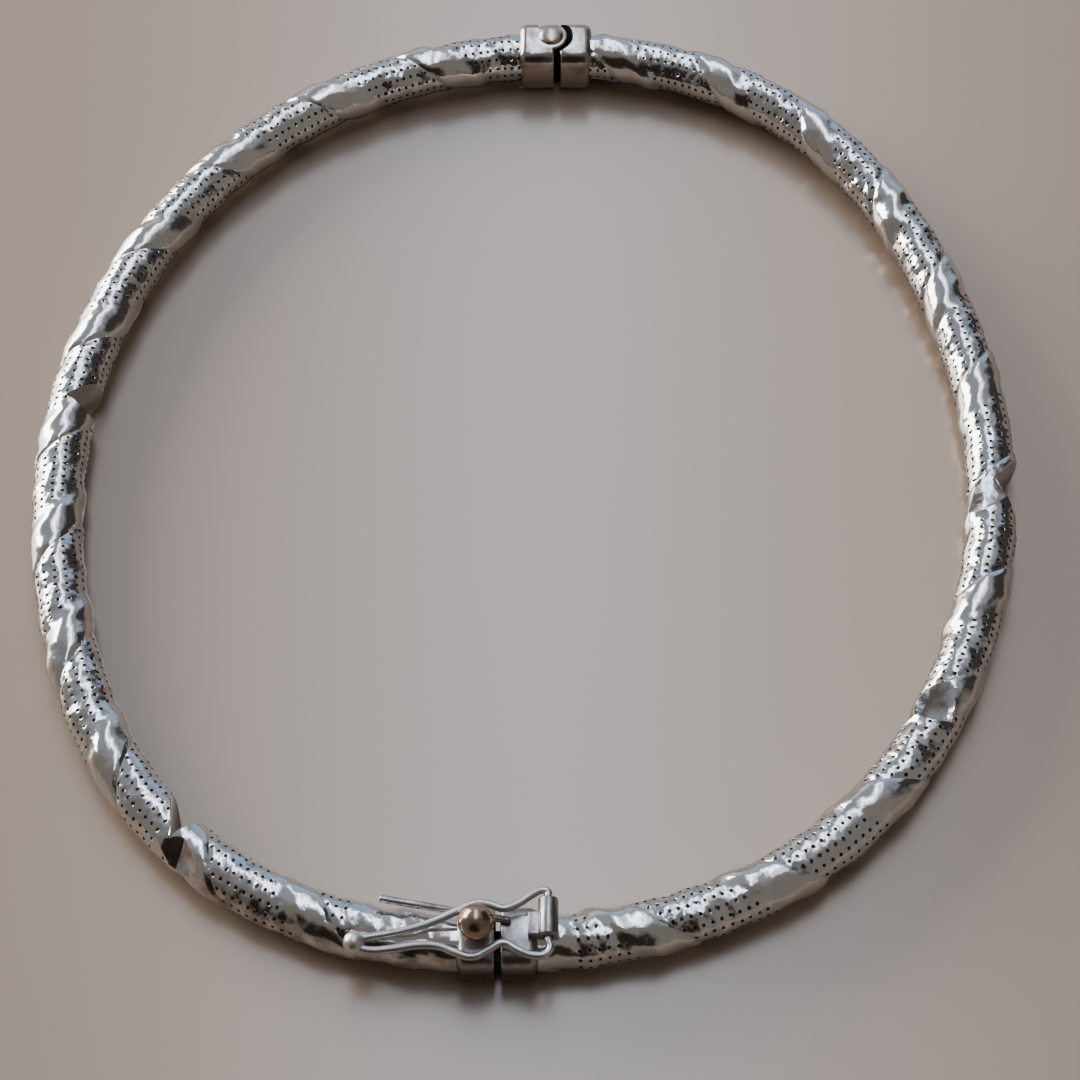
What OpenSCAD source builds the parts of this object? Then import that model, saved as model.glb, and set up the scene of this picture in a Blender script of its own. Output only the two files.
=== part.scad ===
// Hinged bangle of hollow silver tube, lying on its side.
// +Z is up, the hinge is at the back (+Y), the clasp at the front (-Y).
// The origin is the middle of the ring, on the surface that it rests on.
// Lengths are in millimetres and angles in degrees.

/* [Ring] */
// Mean radius of the ring, to the middle of the tube
ring_r = 30.4; // [29:0.1:32]
// Diameter of the tube between its raised bands
tube_d = 3; // [2.8:0.1:3.1]
// Thickness of the tube's wall
wall = 0.3; // [0.25:0.01:0.35]

/* [Spiral bands] */
// Length of tube that one turn of the raised band takes
band_pitch = 7.7; // [6.5:0.1:9]
// Length of the raised band, measured along the tube
band_w = 2.4; // [2:0.1:3]
// How far the band stands out from the tube
band_h = 0.14; // [0.05:0.01:0.16]
// Place of the left half's first band on the tube's inner side, from the hinge
band_start_left = 6.6; // [0:0.1:9]
// Place of the right half's first band on the tube's inner side, from the clasp
band_start_right = 5.3; // [0:0.1:9]

/* [Collars] */
// Width and height of the plain collars at the hinge and the clasp
collar_w = 3.52; // [3.5:0.01:3.6]
// Radius of the collars' long edges
collar_edge = 0.8; // [0.6:0.05:0.9]
// Gap between the two collars at the hinge
hinge_gap = 0.37; // [0.3:0.01:0.45]
// Gap between the two collars at the clasp
seam_gap = 0.29; // [0.25:0.01:0.35]

/* [Hinge] */
// Radius of the left collar's two ears
ear_r = 1.12; // [1.05:0.01:1.2]
// Radius of the hollow that the ears turn in
ear_recess_r = 1.48; // [1.44:0.01:1.55]
// Height of the right collar's lug between the ears
lug_h = 1.3; // [1:0.05:1.4]
// Diameter of the hinge pin
hinge_pin_d = 0.7; // [0.6:0.02:0.74]

/* [Clasp] */
// Diameter of the push ball
ball_d = 1.95; // [1.8:0.01:2]
// Travel of the push ball when it is pressed
ball_travel = 0.3; // [0.2:0.02:0.32]
// Diameter of the safety catch's wire
wire_d = 0.44; // [0.4:0.01:0.45]
// Diameter of the bead at the end of the safety catch
bead_d = 1.2; // [1.1:0.05:1.25]

/* [Hidden] */
$fn = 72;

silver = "#c9c8c4";
warm_silver = "#b5aca0";
gilt = "#b99d7c";

// How far a shape goes into its neighbour, and how far a cut runs past the face that it opens
slop = 0.05;
over = 0.2;
far = 6;

tube_r = tube_d / 2;
// The collars are the tallest part of the ring, so it rests on them
axis_z = collar_w / 2;

// The ring's outline is its mean radius with a few slow waves, worn a little out of true.
// Each row is waves to the turn, cosine part, sine part
waves = [
    [1, 0.15, -0.28],
    [2, -1.98, 0.60],
    [3, -0.08, -0.19],
    [4, -0.22, -0.18],
    [5, 0.04, 0.06],
    [6, 0.13, -0.02]
];
hinge_angle = 86.2;
clasp_angle = 267.66;

function radius_at(a) =
    ring_r + waves_at(a, len(waves) - 1);
function waves_at(a, i) =
    i < 0 ? 0 :
    let (w = waves[i])
    w[1] * cos(w[0] * a) + w[2] * sin(w[0] * a) + waves_at(a, i - 1);
function path(a) = radius_at(a) * [cos(a), sin(a)];

// Direction of the path at an angle, and the direction towards the middle of the ring
path_step = 0.05;
function heading(a) =
    let (d = path(a + path_step) - path(a - path_step)) d / norm(d);
function inward(a) = let (h = heading(a)) [-h[1], h[0]];

hinge_at = path(hinge_angle);
clasp_at = path(clasp_angle);

// How the tube's end sits in a collar: the depth of each socket and its clearance
socket_gap = 0.06;
hinge_collar_left = 2.38;
hinge_collar_right = 2.15;
box_collar = 2.1;
tongue_collar = 2.06;
socket_hinge = 0.85;
socket_box = 0.5;
socket_tongue = 0.85;

// A tube runs from inside one collar to inside the next
end_gap = 0.04;
left_start = hinge_gap / 2 + hinge_collar_left - socket_hinge + end_gap;
left_end = seam_gap / 2 + box_collar - socket_box + end_gap;
right_start = seam_gap / 2 + tongue_collar - socket_tongue + end_gap;
right_end = hinge_gap / 2 + hinge_collar_right - socket_hinge + end_gap;

// The bands were struck by hand, so their spacing wanders. Each list is the distances along the
// tube from the first band, at the usual pitch
usual_pitch = 7.7;
bands_left = [0, 8.2, 16.3, 24.0, 31.4, 38.6, 46.4, 54.2, 61.9, 69.4, 77.0];
bands_right = [0, 8.2, 15.9, 23.0, 30.8, 38.4, 46.0, 53.8, 61.4, 69.2, 77.0, 84.8];

// The bands fade out where the tube enters a collar
fade_from = 2.45;
fade_over = 0.7;

// Dents, as the left half from the hinge and the right half from the clasp.
// Each row is place along the tube, angle round it (0 inner side, 90 top, 180 outer side),
// depth, half length along the tube, half angle round it
dents_left = [
    [45.7, 8, 1.10, 1.2, 75],
    [76.7, 12, 1.15, 1.2, 75],
    [78.0, 125, 0.50, 1.5, 65]
];
dents_right = [
    [29.0, 5, 0.35, 0.9, 50],
    [29.9, 88, 0.60, 1.5, 60],
    [46.3, 172, 1.00, 1.4, 80],
    [46.6, 75, 0.80, 1.7, 65]
];
// The inner skin's dents are longer and wider, which keeps the wall whole between its stations
inner_dent_longer = 0.8;
inner_dent_wider = 20;
least_outer = 0.34;
least_inner = 0.12;

// Rings and sides of the tubes' outer and inner skins
outer_rings = 164;
outer_sides = 16;
skin_ratio = 2;

// Polar angle reached by going a straight distance along the ring from another angle
function angle_along(a, distance) = a + distance / radius_at(a) * 180 / PI;

// Distance gone along the path at each of a list of angles
function lengths(angles) =
    [for (i = 0, sum = 0; i < len(angles); i = i + 1,
          sum = i < len(angles) ? sum + norm(path(angles[i]) - path(angles[i - 1])) : sum) sum];

// Length of the path between two polar angles
length_samples = 360;
function length_between(a, b) =
    let (gone = lengths([for (k = [0:length_samples]) a + (b - a) * k / length_samples]))
    gone[length_samples];

function smooth(x) = let (t = max(0, min(1, x))) t * t * (3 - 2 * t);
function wrap(x) = x - floor(x + 0.5);
function dent_depth(dents, s, phi, longer, wider, i = 0) =
    i >= len(dents) ? 0 :
    let (d = dents[i],
         along = max(0, 1 - abs(s - d[0]) / (d[3] + longer)),
         round_it = cos(min(90, abs(wrap((phi - d[1]) / 360)) * 360 / (d[4] + wider) * 90)))
    max(d[2] * along * round_it, dent_depth(dents, s, phi, longer, wider, i + 1));

// Number of bands between the first one and a place on the tube, along a right-handed spiral
function bands_passed(s, phi, start, bands) =
    let (last = len(bands) - 1,
         p = (s - start) * usual_pitch / band_pitch - usual_pitch * phi / 360)
    p < 0 ? p / usual_pitch :
    p > bands[last] ? last + (p - bands[last]) / usual_pitch :
    lookup(p, [for (i = [0:last]) [bands[i], i]]);

// Height of the raised band at a place on the tube
function band_rise(s, phi, start, bands) =
    let (u = wrap(bands_passed(s, phi, start, bands)) * band_pitch / (band_w / 2))
    abs(u) < 1 ? band_h * (1 - u * u) : 0;

function outer_radius(s, phi, start, bands, total, dents) =
    let (fade = smooth((min(s, total - s) - fade_from) / fade_over),
         raised = tube_r + fade * band_rise(s, phi, start, bands))
    max(least_outer, raised - dent_depth(dents, s, phi, 0, 0));
function inner_radius(s, phi, dents) =
    max(least_inner, tube_r - wall - dent_depth(dents, s, phi, inner_dent_longer, inner_dent_wider));

// Point at a distance from the tube's middle line
function tube_point(a, phi, q) =
    let (flat = path(a) + q * cos(phi) * inward(a))
    [flat[0], flat[1], axis_z + q * sin(phi)];

// One half of the ring: a hollow tube with open ends, as an outer and an inner skin
module tube_half(from, to, offset, start, bands, total, dents) {
    angles = [for (k = [0:outer_rings]) from + (to - from) * k / outer_rings];
    gone = lengths(angles);
    outer_n = outer_sides;
    inner_n = outer_sides / skin_ratio;
    inner_rings = outer_rings / skin_ratio;
    outer = [for (k = [0:outer_rings]) for (j = [0:outer_n - 1])
        let (phi = 360 * j / outer_n)
        tube_point(angles[k], phi, outer_radius(offset + gone[k], phi, start, bands, total, dents))];
    inner = [for (k = [0:skin_ratio:outer_rings]) for (j = [0:inner_n - 1])
        let (phi = 360 * j / inner_n)
        tube_point(angles[k], phi, inner_radius(offset + gone[k], phi, dents))];
    base = len(outer);
    outer_faces = [for (k = [0:outer_rings - 1]) for (j = [0:outer_n - 1])
        let (a = k * outer_n + j, b = k * outer_n + (j + 1) % outer_n)
        each [[a, a + outer_n, b], [b, a + outer_n, b + outer_n]]];
    inner_faces = [for (k = [0:inner_rings - 1]) for (j = [0:inner_n - 1])
        let (a = base + k * inner_n + j, b = base + k * inner_n + (j + 1) % inner_n)
        each [[a, b, a + inner_n], [b, b + inner_n, a + inner_n]]];
    // Each end is a flat rim of three triangles to one side of the inner skin
    rim_faces = [for (j = [0:inner_n - 1]) for (last = [false, true])
        let (o = last ? outer_rings * outer_n : 0,
             i = base + (last ? inner_rings * inner_n : 0),
             p = o + skip(j, 0, outer_n),
             q = o + skip(j, 1, outer_n),
             r = o + skip(j, 2, outer_n),
             s = i + j,
             t = i + (j + 1) % inner_n)
        each [for (f = [[p, q, s], [q, t, s], [q, r, t]]) last ? [f[2], f[1], f[0]] : f]];
    polyhedron(points = concat(outer, inner), faces = concat(outer_faces, inner_faces, rim_faces),
        convexity = 12);
}
// Place on the outer skin's ring of the point that is some steps past the inner skin's point j
function skip(j, steps, n) = (skin_ratio * j + steps) % n;

left_from = angle_along(hinge_angle, left_start);
left_to = angle_along(clasp_angle, -left_end);
right_from = angle_along(clasp_angle, right_start);
right_to = angle_along(hinge_angle + 360, -right_end);
left_total = length_between(hinge_angle, clasp_angle);
right_total = length_between(clasp_angle, hinge_angle + 360);

module tube_left() {
    color(silver)
        tube_half(left_from, left_to, left_start, band_start_left, bands_left, left_total, dents_left);
}

module tube_right() {
    color(silver)
        tube_half(right_from, right_to, right_start, band_start_right, bands_right, right_total,
            dents_right);
}

// A rectangle with round corners, with its middle at the origin
module round_rectangle(x, y, r) {
    square([x - 2 * r, y], center = true);
    square([x, y - 2 * r], center = true);
    for (sx = [-1, 1], sy = [-1, 1])
        translate([sx * (x / 2 - r), sy * (y / 2 - r)]) circle(r);
}

// A bar of the collars' section along X, from x0 to x1, with softened end edges
end_edge = 0.2;
module collar_bar(x0, x1) {
    intersection() {
        translate([x0, 0, 0]) rotate([90, 0, 90]) linear_extrude(x1 - x0)
            round_rectangle(collar_w, collar_w, collar_edge);
        translate([(x0 + x1) / 2, 0, -collar_w]) linear_extrude(2 * collar_w)
            round_rectangle(x1 - x0, collar_w + 2 * slop, end_edge);
    }
}

// A round hole for the tube's end, between two distances along the ring from a joint
module socket(joint, d0, d1) {
    p = path(angle_along(joint, d0)) - path(joint);
    q = path(angle_along(joint, d1)) - path(joint);
    v = q - p;
    translate([p[0], p[1], 0]) rotate([0, 90, atan2(v[1], v[0])])
        cylinder(r = tube_r + socket_gap, h = norm(v));
}

module at_hinge() {
    translate([hinge_at[0], hinge_at[1], axis_z]) children();
}

module at_clasp() {
    translate([clasp_at[0], clasp_at[1], axis_z]) children();
}

// The pin stands a little left of the slit and outside the tube's middle line
pin_x = -0.40;
pin_y = 0.28;
pin_fit = 0.02;
lug_fit = 0.06;
// The lug on the right collar, and its gap all round in the left one
lug_r = 0.86;
lug_gap = 0.07;
// The left collar steps back here so that the right one's outer corner can swing past
shoulder_x = pin_x - 0.85;

// The pin is riveted: a domed head above and a foot spread into the lower ear
pin_head_d = 1.66;
pin_head_h = 0.32;
pin_foot_d = 1.1;
pin_foot_h = 0.3;

module at_pin() {
    translate([pin_x, pin_y, 0]) children();
}

module hinge_cap_left() {
    x0 = -hinge_gap / 2 - hinge_collar_left;
    x1 = -hinge_gap / 2;
    color(warm_silver) at_hinge() difference() {
        intersection() {
            union() {
                difference() {
                    collar_bar(x0, x1);
                    translate([shoulder_x, pin_y, -collar_w]) cube([far, far, 2 * collar_w]);
                }
                at_pin() translate([0, 0, -collar_w / 2]) cylinder(r = ear_r, h = collar_w);
            }
            collar_bar(x0, far);
        }
        socket(hinge_angle, left_start - end_gap, -x0 + over);
        translate([0, 0, -lug_h / 2 - lug_gap]) {
            at_pin() cylinder(r = lug_r + lug_gap, h = lug_h + 2 * lug_gap);
            translate([pin_x, pin_y - ear_r - slop, 0]) cube([far, far, lug_h + 2 * lug_gap]);
            translate([shoulder_x, pin_y, 0]) cube([far, far, lug_h + 2 * lug_gap]);
        }
        at_pin() translate([0, 0, -collar_w]) cylinder(r = hinge_pin_d / 2 + pin_fit, h = 2 * collar_w);
        at_pin() translate([0, 0, -collar_w / 2 - slop])
            cylinder(r = pin_foot_d / 2 + pin_fit, h = pin_foot_h + slop);
    }
}

module hinge_cap_right() {
    x0 = hinge_gap / 2;
    x1 = hinge_gap / 2 + hinge_collar_right;
    color(warm_silver) at_hinge() difference() {
        union() {
            difference() {
                collar_bar(x0, x1);
                at_pin() translate([0, 0, -collar_w]) cylinder(r = ear_recess_r, h = 2 * collar_w);
            }
            at_pin() translate([0, 0, -lug_h / 2]) cylinder(r = lug_r, h = lug_h);
            translate([pin_x, pin_y - lug_r, -lug_h / 2])
                cube([ear_recess_r + over, 2 * lug_r, lug_h]);
        }
        socket(hinge_angle, -right_end + end_gap, -x1 - over);
        at_pin() translate([0, 0, -collar_w]) cylinder(r = hinge_pin_d / 2 + lug_fit, h = 2 * collar_w);
    }
}

module hinge_pin() {
    color(gilt) at_hinge() at_pin() rotate_extrude() {
        head_r = (pow(pin_head_d / 2, 2) + pow(pin_head_h, 2)) / (2 * pin_head_h);
        translate([0, -collar_w / 2 + slop]) square([hinge_pin_d / 2, collar_w]);
        translate([0, -collar_w / 2 + slop]) square([pin_foot_d / 2, pin_foot_h - 2 * slop]);
        intersection() {
            translate([0, collar_w / 2 + pin_head_h - head_r]) circle(head_r);
            translate([0, collar_w / 2 + slop]) square([pin_head_d, pin_head_h]);
        }
    }
}

// The clasp: the left collar is a box that takes the right collar's tongue
box_room = [1.5, 2.2, 2.1];
tongue = [1.35, 1.8, 0.8];
tongue_z = -0.95;

// The ball stands on a stem with a foot inside the box. It has room above the collar, and the
// foot has room above the tongue, for the ball to be pressed down
ball_x = -1.14;
ball_y = 0.12;
ball_room = 0.065;
foot_room = 0.27;
ball_z = (collar_w + ball_d) / 2 + ball_travel + ball_room;
foot_z = tongue_z + tongue[2] + ball_travel + foot_room;
foot_d = 0.86;
foot_h = 0.3;
stem_d = 0.7;
stem_fit = 0.05;

// A straight guard bar with round ends is soldered along the box's inner upper edge
bar_d = 0.43;
bar_right = [0.50, 0.84, 1.94];
bar_left = [-6.30, 2.13, 1.40];

module round_bar(p, q, d) {
    v = q - p;
    turn = atan2(v[1], v[0]);
    dip = acos(v[2] / norm(v));
    translate(p) rotate([0, dip, turn]) cylinder(d = d, h = norm(v));
    translate(p) sphere(d = d);
    translate(q) sphere(d = d);
}

module box_cap() {
    x0 = -seam_gap / 2 - box_collar;
    x1 = -seam_gap / 2;
    color(warm_silver) at_clasp() union() {
        difference() {
            collar_bar(x0, x1);
            socket(clasp_angle, -left_end + end_gap, x0 - over);
            translate([x1 - box_room[0], -box_room[1] / 2, -box_room[2] / 2])
                cube([box_room[0] + slop, box_room[1], box_room[2]]);
            translate([ball_x, ball_y, 0]) cylinder(d = stem_d + 2 * stem_fit, h = collar_w);
        }
        round_bar(bar_right, bar_left, bar_d);
    }
}

// The right collar carries the tongue and the barrel that the safety catch turns in
barrel_x = 2.73;
barrel_z = 2.34;
barrel_d = 1.1;
barrel_inner_y = 1.78;
barrel_outer_y = -0.43;
barrel_fit = 0.07;
// The saddle is the block under the barrel, soldered to the collar's top
saddle_from = [1.63, -0.3, 1.68];
saddle_to = [2.98, 1.1, barrel_z];

module tongue_cap() {
    x0 = seam_gap / 2;
    x1 = seam_gap / 2 + tongue_collar;
    color(warm_silver) at_clasp() difference() {
        union() {
            difference() {
                collar_bar(x0, x1);
                socket(clasp_angle, right_start - end_gap, x1 + over);
            }
            translate([x0 - tongue[0], -tongue[1] / 2, tongue_z])
                cube([tongue[0] + 2 * end_edge, tongue[1], tongue[2]]);
            translate(saddle_from) cube(saddle_to - saddle_from);
            translate([barrel_x, barrel_inner_y, barrel_z]) rotate([90, 0, 0])
                cylinder(d = barrel_d, h = barrel_inner_y - barrel_outer_y);
        }
        translate([barrel_x, barrel_inner_y + slop, barrel_z]) rotate([90, 0, 0])
            cylinder(d = wire_d + 2 * barrel_fit, h = barrel_inner_y - barrel_outer_y + 2 * slop);
    }
}

// The ball is pressed down to free the tongue: its stem ends in a foot inside the box
module push_ball() {
    color(gilt) at_clasp() translate([ball_x, ball_y, 0]) union() {
        translate([0, 0, ball_z]) sphere(d = ball_d);
        translate([0, 0, foot_z]) cylinder(d = stem_d, h = ball_z - foot_z);
        translate([0, 0, foot_z]) cylinder(d = foot_d, h = foot_h);
    }
}

// The safety catch: one wire bent to a waisted loop that goes from its end bead to the barrel,
// through the barrel and back to the bead.
// Each row is place along X from the clasp's seam, place towards the ring's middle, height
// above the tube's middle
catch_wire = [
    [-7.65, -0.38, 1.84],
    [-7.00, -0.26, 1.86],
    [-5.60, -0.04, 1.93],
    [-4.20, 0.26, 2.08],
    [-3.10, 0.64, 2.22],
    [-2.10, 1.10, 2.32],
    [-1.20, 1.50, 2.34],
    [-0.40, 1.38, 2.39],
    [0.30, 1.01, 2.41],
    [1.10, 1.42, 2.38],
    [1.85, 1.98, 2.34],
    [2.35, 2.24, 2.34],
    [2.70, 2.16, 2.34],
    [barrel_x, 1.90, barrel_z],
    [barrel_x, 1.60, barrel_z],
    [barrel_x, -0.30, barrel_z],
    [barrel_x, -0.60, barrel_z],
    [2.84, -1.00, 2.34],
    [2.62, -1.36, 2.34],
    [1.90, -1.46, 2.34],
    [1.10, -1.16, 2.34],
    [0.30, -0.76, 2.34],
    [-0.40, -1.10, 2.34],
    [-1.30, -1.54, 2.34],
    [-2.20, -1.32, 2.32],
    [-3.10, -0.92, 2.22],
    [-4.20, -0.80, 2.08],
    [-5.60, -0.94, 1.93],
    [-7.00, -0.98, 1.86],
    [-7.65, -0.74, 1.84]
];
bead_at = [-7.7, -0.55, 1.84];
wire_sides = 8;
wire_steps = 2;

// A smooth curve through points, in even steps between each pair
function curve_point(p, q, r, s, t) =
    0.5 * (2 * q + (r - p) * t + (2 * p - 5 * q + 4 * r - s) * t * t + (3 * q - p - 3 * r + s) * t * t * t);
function smooth_curve(pts, steps) =
    let (n = len(pts) - 1)
    concat([for (i = [0:n - 1]) for (k = [0:steps - 1])
        curve_point(pts[max(0, i - 1)], pts[i], pts[i + 1], pts[min(n, i + 2)], k / steps)], [pts[n]]);
function unit(v) = v / norm(v);

// A round wire along a curve that never runs straight up, closed at both ends
module wire(pts, d) {
    n = len(pts) - 1;
    directions = [for (i = [0:n]) unit(pts[min(n, i + 1)] - pts[max(0, i - 1)])];
    rings = [for (i = [0:n])
        let (side = unit(cross([0, 0, 1], directions[i])), top = cross(directions[i], side))
        for (j = [0:wire_sides - 1])
            pts[i] + d / 2 * (cos(360 * j / wire_sides) * side + sin(360 * j / wire_sides) * top)];
    sides = [for (i = [0:n - 1]) for (j = [0:wire_sides - 1])
        let (a = i * wire_sides + j, b = i * wire_sides + (j + 1) % wire_sides)
        each [[a, a + wire_sides, b], [b, a + wire_sides, b + wire_sides]]];
    first = [for (j = [0:wire_sides - 1]) j];
    last = [for (j = [wire_sides - 1:-1:0]) n * wire_sides + j];
    polyhedron(points = rings, faces = concat(sides, [first, last]), convexity = 8);
}

module safety_catch() {
    color(silver) at_clasp() union() {
        wire(smooth_curve(catch_wire, wire_steps), wire_d);
        translate(bead_at) sphere(d = bead_d, $fn = 20);
    }
}

tube_left();
tube_right();
hinge_cap_left();
hinge_cap_right();
hinge_pin();
box_cap();
tongue_cap();
push_ball();
safety_catch();
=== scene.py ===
# %% [markdown]
# # A hinged silver bangle, lying on its side
# The bangle is two curved halves of hollow tube. A hinge joins them at the back and a box clasp
# at the front, and a bent wire with a bead at its end keeps the clasp from opening by itself.
# The CAD part is the fixed frame, which gives each piece its place and size.

# %% Load the frame
import math

import bmesh
import bpy
import numpy as np
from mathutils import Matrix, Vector


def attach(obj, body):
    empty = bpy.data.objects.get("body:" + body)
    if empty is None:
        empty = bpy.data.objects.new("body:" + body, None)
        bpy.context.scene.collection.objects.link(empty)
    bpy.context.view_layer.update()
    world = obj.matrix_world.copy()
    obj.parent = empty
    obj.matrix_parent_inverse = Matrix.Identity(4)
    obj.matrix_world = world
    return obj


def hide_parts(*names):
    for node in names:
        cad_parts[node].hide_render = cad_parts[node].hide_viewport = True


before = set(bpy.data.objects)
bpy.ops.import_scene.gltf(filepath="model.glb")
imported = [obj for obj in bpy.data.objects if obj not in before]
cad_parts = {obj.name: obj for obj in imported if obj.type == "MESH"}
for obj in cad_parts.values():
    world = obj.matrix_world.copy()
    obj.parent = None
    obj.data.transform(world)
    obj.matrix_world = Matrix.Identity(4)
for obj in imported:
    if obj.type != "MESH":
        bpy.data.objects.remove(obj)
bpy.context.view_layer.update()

MM = 0.001

# %% [markdown]
# ## The ring's outline
# The bangle isn't a true circle: it has been worn and bent a little, so its outline is a circle
# with a few slow waves. A table of points along the outline lets every later step ask for the
# place and the direction at a distance along one half.

# %% Outline of the ring
RING_R = 30.4
WAVES = [  # waves to the turn, cosine part, sine part
    (1, 0.15, -0.28),
    (2, -1.98, 0.60),
    (3, -0.08, -0.19),
    (4, -0.22, -0.18),
    (5, 0.04, 0.06),
    (6, 0.13, -0.02),
]
HINGE_ANGLE, CLASP_ANGLE = 86.2, 267.66  # degrees, where the two joints lie on the outline
AXIS_Z = 1.76  # mm, height of the tube's middle line
OUTLINE_POINTS = 4001


def outline(degrees):
    """Points of the ring's middle line at these polar angles, mm."""
    a = np.radians(degrees)
    r = RING_R + sum(c * np.cos(k * a) + s * np.sin(k * a) for k, c, s in WAVES)
    return np.stack([r * np.cos(a), r * np.sin(a)], -1)


class Half:
    """One half of the ring, measured in millimetres from one joint to the other."""

    def __init__(self, start_angle, end_angle):
        angles = np.linspace(start_angle, end_angle, OUTLINE_POINTS)
        self.points = outline(angles)
        steps = np.linalg.norm(np.diff(self.points, axis=0), axis=1)
        self.along = np.concatenate([[0], np.cumsum(steps)])
        self.length = self.along[-1]
        ahead = np.gradient(self.points, self.along, axis=0)
        self.ahead = ahead / np.linalg.norm(ahead, axis=1)[:, None]

    def at(self, s):
        """Place and direction at distances s."""
        place = np.stack([np.interp(s, self.along, self.points[:, i]) for i in (0, 1)], -1)
        ahead = np.stack([np.interp(s, self.along, self.ahead[:, i]) for i in (0, 1)], -1)
        return place, ahead

    def roll(self, s, phi, q):
        """Points in metres at a distance s along the half and q from the tube's middle line.

        Phi is the angle round the tube: 0 is the inner side, 90 the top, 180 the outer side.
        """
        place, ahead = self.at(s)
        inward = np.stack([-ahead[:, 1], ahead[:, 0]], -1)
        phi = np.radians(phi)
        flat = place + (q * np.cos(phi))[:, None] * inward
        return np.column_stack([flat, AXIS_Z + q * np.sin(phi)]) * MM


left_half = Half(HINGE_ANGLE, CLASP_ANGLE)
right_half = Half(CLASP_ANGLE, HINGE_ANGLE + 360)
print(f"left half {left_half.length:.1f} mm, right half {right_half.length:.1f} mm")

# %% [markdown]
# ## Small helpers
# Most steps use Blender's own edit-mode operators. These helpers only start an object clean,
# choose parts of it by their place, and switch between object and edit mode.

# %% Helpers
def only(ob):
    """Makes ob the one selected, active object."""
    bpy.ops.object.select_all(action="DESELECT")
    ob.select_set(True)
    bpy.context.view_layer.objects.active = ob
    return ob


def edit(ob, select="DESELECT"):
    """Opens ob for editing with all or nothing selected."""
    only(ob)
    bpy.ops.object.mode_set(mode="EDIT")
    bpy.ops.mesh.select_mode(type="VERT")
    bpy.ops.mesh.select_all(action=select)


def done():
    """Goes back to object mode."""
    bpy.ops.object.mode_set(mode="OBJECT")


def corners(ob):
    """The mesh's points as an array."""
    co = np.empty(len(ob.data.vertices) * 3)
    ob.data.vertices.foreach_get("co", co)
    return co.reshape(-1, 3)


def put_corners(ob, co):
    """Moves the mesh's points to these places."""
    ob.data.vertices.foreach_set("co", np.asarray(co, float).ravel())
    ob.data.update()


# %% [markdown]
# ## The chased sheet
# A tube like this is made from a flat strip: the pattern is rolled or punched in, the strip is
# drawn round into a tube, and the seam is soldered. The model is made the same way. A flat grid
# is laid out in millimetres, its X along the tube and its Y round it. Its columns are slanted, so
# that they turn into a spiral when the sheet is rolled. Each turn has 30 columns: ten for the
# plain raised band and twenty for the dotted panel.

# %% Measures of the sheet
TUBE_R = 1.5
PITCH = 7.7  # mm along the tube from one band to the next, on average
BAND_COLUMNS, PANEL_COLUMNS = 10, 20
COLUMN = PITCH / (BAND_COLUMNS + PANEL_COLUMNS)
ROWS = 30
GIRTH = 2 * math.pi * TUBE_R
BAND_HALF = BAND_COLUMNS / 2 * COLUMN
ON_CUT = 1e-6  # a point this near to a cut counts as on it

# Where the middle of each plain band crosses the tube's inner side, from the hinge or the clasp
BANDS_LEFT = [6.6, 14.8, 22.9, 30.6, 38.0, 45.2, 53.0, 60.8, 68.5, 76.0, 83.6]
BANDS_RIGHT = [5.3, 13.5, 21.2, 28.3, 36.1, 43.7, 51.3, 59.1, 66.7, 74.5, 82.3, 90.1]


class Spiral:
    """Turns a place into the number of the band there and back. 2.5 is half way from 2 to 3."""

    def __init__(self, bands):
        more = 4
        before = bands[0] - PITCH * np.arange(more, 0, -1)
        after = bands[-1] + PITCH * np.arange(1, more + 1)
        self.places = np.concatenate([before, bands, after])
        self.numbers = np.arange(len(self.places)) - more

    def number(self, s, phi):
        return np.interp(s - PITCH * phi / 360, self.places, self.numbers)

    def place(self, number, phi):
        return np.interp(number, self.numbers, self.places) + PITCH * phi / 360


def flat_sheet(name, spiral, seam_phi, start, end):
    """A slanted grid whose columns keep step with the bands, cut square at both ends."""
    per_turn = BAND_COLUMNS + PANEL_COLUMNS
    first = math.floor(spiral.number(start, seam_phi + 360) * per_turn) - 1
    last = math.ceil(spiral.number(end, seam_phi) * per_turn) + 1
    columns = last - first
    bpy.ops.mesh.primitive_grid_add(x_subdivisions=columns, y_subdivisions=ROWS, size=1)
    sheet = bpy.context.object
    sheet.name = name
    co = corners(sheet)
    number = (first + (co[:, 0] + 0.5) * columns) / per_turn
    phi = seam_phi + 360 * (co[:, 1] + 0.5)
    put_corners(sheet, np.column_stack([spiral.place(number, phi), phi / 360 * GIRTH, 0 * phi]))
    edit(sheet)
    for place, side in ((start, -1), (end, 1)):
        bpy.ops.mesh.select_all(action="SELECT")
        bpy.ops.mesh.bisect(
            plane_co=(place, 0, 0), plane_no=(side, 0, 0), clear_outer=True, threshold=ON_CUT
        )
    done()
    return sheet


def band_place(co, spiral):
    """How far each point of the sheet is from the middle of the nearest band, mm."""
    number = spiral.number(co[:, 0], co[:, 1] / GIRTH * 360)
    return (number - np.round(number)) * PITCH


# %% [markdown]
# The tube has been knocked in seven places. Each dent is two flats, often a long and a short one,
# that meet at a fold. The folds are plain metal: no dot is left where the wall is pushed in.

# %% Dents
DENTS_LEFT = [  # place along the half, angle round it, depth, length before, length after, slant
    (45.8, 8, 1.40, 1.5, 0.9, 0.0),
    (77.2, 8, 1.70, 2.1, 0.6, 0.0),
    (78.15, 134, 0.30, 1.0, 1.2, 0.3),
]
DENTS_RIGHT = [
    (29.0, 5, 0.35, 0.9, 0.9, 0.0),
    (29.5, 76, 0.52, 0.45, 2.0, 0.2),
    (46.3, 172, 1.27, 2.3, 1.9, 0.0),
    (44.75, 75, 0.42, 0.5, 2.15, 0.77),
]


EDGE_ON = 0.05  # least cosine that a flat is followed to, round the tube


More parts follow.
